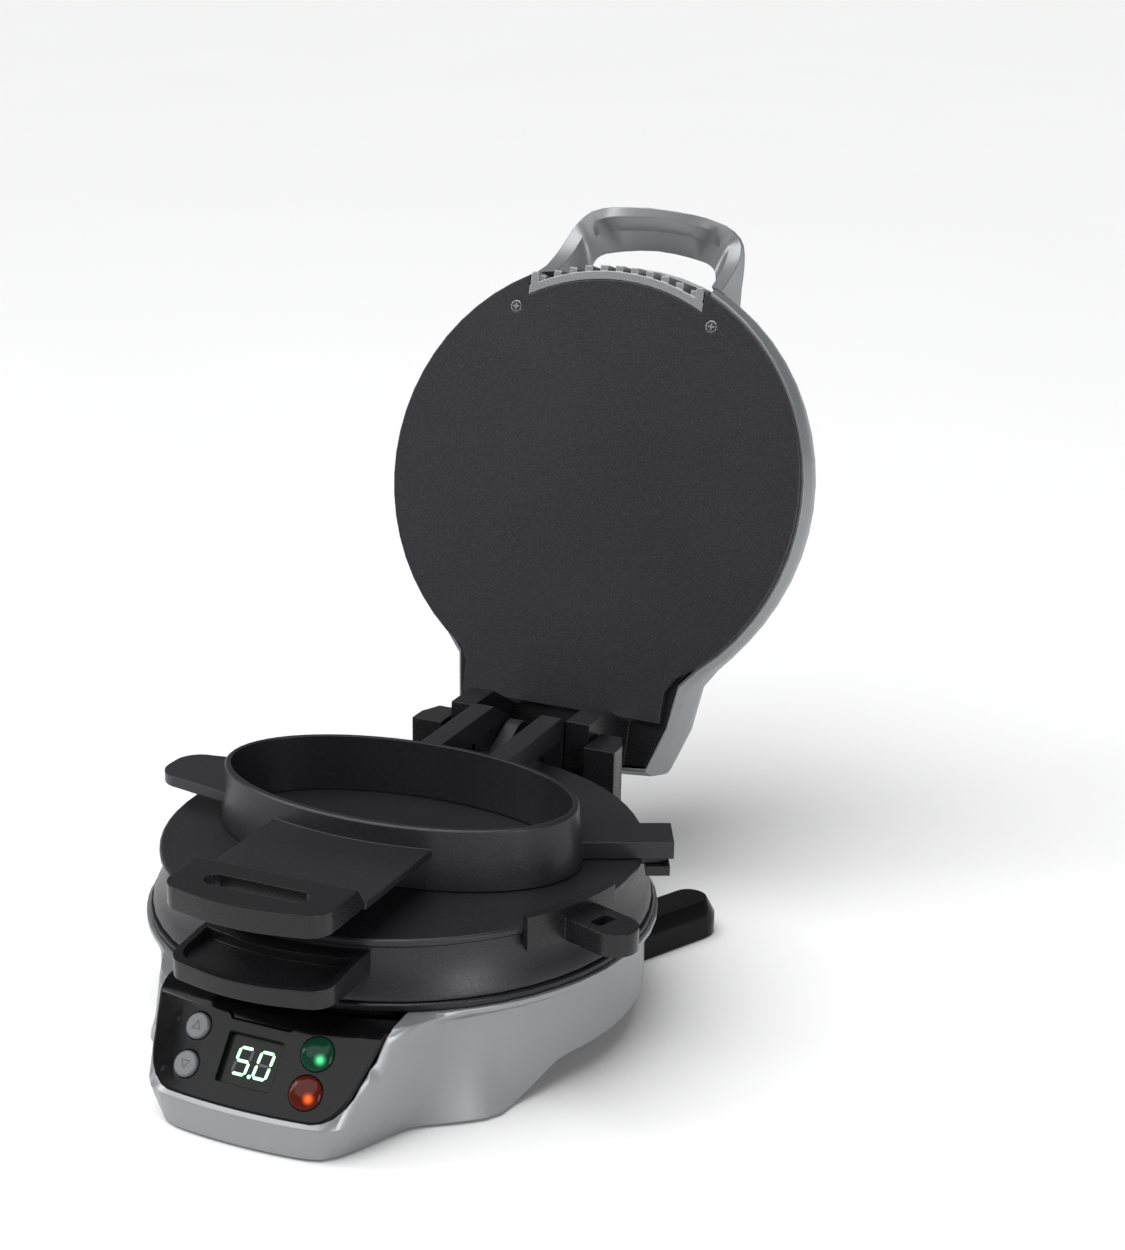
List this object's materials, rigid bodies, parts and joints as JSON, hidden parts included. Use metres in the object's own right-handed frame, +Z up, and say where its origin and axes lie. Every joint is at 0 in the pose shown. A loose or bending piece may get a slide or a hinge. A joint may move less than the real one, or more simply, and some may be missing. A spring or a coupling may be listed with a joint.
{
  "type": "breakfast burrito maker",
  "caption": "Round countertop cooker with a hinged heated lid, a flared bottom ring, a swing-out plate, an oval egg ring and a slanted control panel.",
  "frame": {"origin": "centre of the bottom cover's flat underside, straight below the centre of the round plates", "axes": "+Z up, -Y towards the control panel, +X to the right seen from the front"},
  "size_m": [0.2456, 0.4347, 0.3159],
  "materials": {
    "satin_silver": "satin",
    "black_plastic": "semi-gloss",
    "gloss_black": "glossy",
    "nonstick": "fine speckled non-stick coating",
    "steel": "plain",
    "tinned_sheet": "bright",
    "button_grey": "satin",
    "smoked_window": "glossy",
    "green_lens": "glossy",
    "red_lens": "glossy",
    "led_epoxy": "glossy",
    "circuit_board": "matte",
    "rubber": "matte",
    "ceramic": "matte"
  },
  "bodies": {
    "base": {"base_housing": "satin_silver", "control_panel": "gloss_black", "display_window": "smoked_window", "digit_display": "smoked_window", "control_board": "circuit_board", "green_lens": "green_lens", "red_lens": "red_lens", "green_led": "led_epoxy", "red_led": "led_epoxy", "up_switch": "black_plastic", "down_switch": "black_plastic", "bottom_cover": "black_plastic", "front_cover": "black_plastic", "front_screw_left": "steel", "front_screw_right": "steel", "cover_screw_front_left": "steel", "cover_screw_front_right": "steel", "cover_screw_rear_left": "steel", "cover_screw_rear_right": "steel", "foot_front_left": "rubber", "foot_front_right": "rubber", "foot_rear_left": "rubber", "foot_rear_right": "rubber", "rear_leg_left": "gloss_black", "rear_leg_right": "gloss_black", "power_board": "circuit_board", "base_deck": "black_plastic", "lower_heating_plate": "nonstick", "lower_heating_element": "steel", "lower_heat_reflector": "tinned_sheet", "lower_thermostat": "ceramic", "hinge_tower": "black_plastic", "cord_bush": "rubber", "hinge_pin": "steel", "hinge_pin_clip": "steel"},
    "lid": {"lid_cover": "satin_silver", "lid_frame": "black_plastic", "upper_heating_plate": "nonstick", "plate_screw_left": "steel", "plate_screw_right": "steel", "upper_heating_element": "steel", "upper_heat_reflector": "tinned_sheet", "upper_thermostat": "ceramic", "lid_grille": "satin_silver", "lid_handle": "satin_silver"},
    "bottom_ring_body": {"bottom_ring": "nonstick", "bottom_ring_handle": "black_plastic", "bottom_handle_screw_left": "steel", "bottom_handle_screw_right": "steel"},
    "egg_ring_body": {"egg_ring": "nonstick", "egg_ring_handle": "black_plastic", "egg_handle_screw_left": "steel", "egg_handle_screw_right": "steel", "plate_pivot_pin": "black_plastic"},
    "cooking_plate_body": {"cooking_plate": "nonstick", "plate_handle": "black_plastic", "plate_handle_screw_left": "steel", "plate_handle_screw_right": "steel"},
    "up_button_body": {"up_button": "button_grey"},
    "down_button_body": {"down_button": "button_grey"}
  },
  "joints": [
    {"name": "lid_hinge", "type": "hinge", "parent": "base", "child": "lid", "pos_m": [0, 0.131, 0.058], "axis": [-1, 0, 0], "range_deg": [-107, 0]},
    {"name": "bottom_ring_lift", "type": "hinge", "parent": "base", "child": "bottom_ring_body", "pos_m": [0, 0.131, 0.058], "axis": [-1, 0, 0], "range_deg": [0, 48]},
    {"name": "egg_ring_lift", "type": "hinge", "parent": "bottom_ring_body", "child": "egg_ring_body", "pos_m": [0, 0.131, 0.058], "axis": [-1, 0, 0], "range_deg": [0, 50]},
    {"name": "cooking_plate_turn", "type": "hinge", "parent": "egg_ring_body", "child": "cooking_plate_body", "pos_m": [0.10539, 0.03323, 0.0584], "axis": [0, 0, -1], "range_deg": [-110, 0]},
    {"name": "up_button_press", "type": "slide", "parent": "base", "child": "up_button_body", "axis": [0.1165, 0.7737, -0.6228], "range_m": [0, 0.0012], "stiffness_N_per_m": 600, "springref_m": -0.0004},
    {"name": "down_button_press", "type": "slide", "parent": "base", "child": "down_button_body", "axis": [0.1165, 0.7737, -0.6228], "range_m": [0, 0.0012], "stiffness_N_per_m": 600, "springref_m": -0.0004}
  ]
}
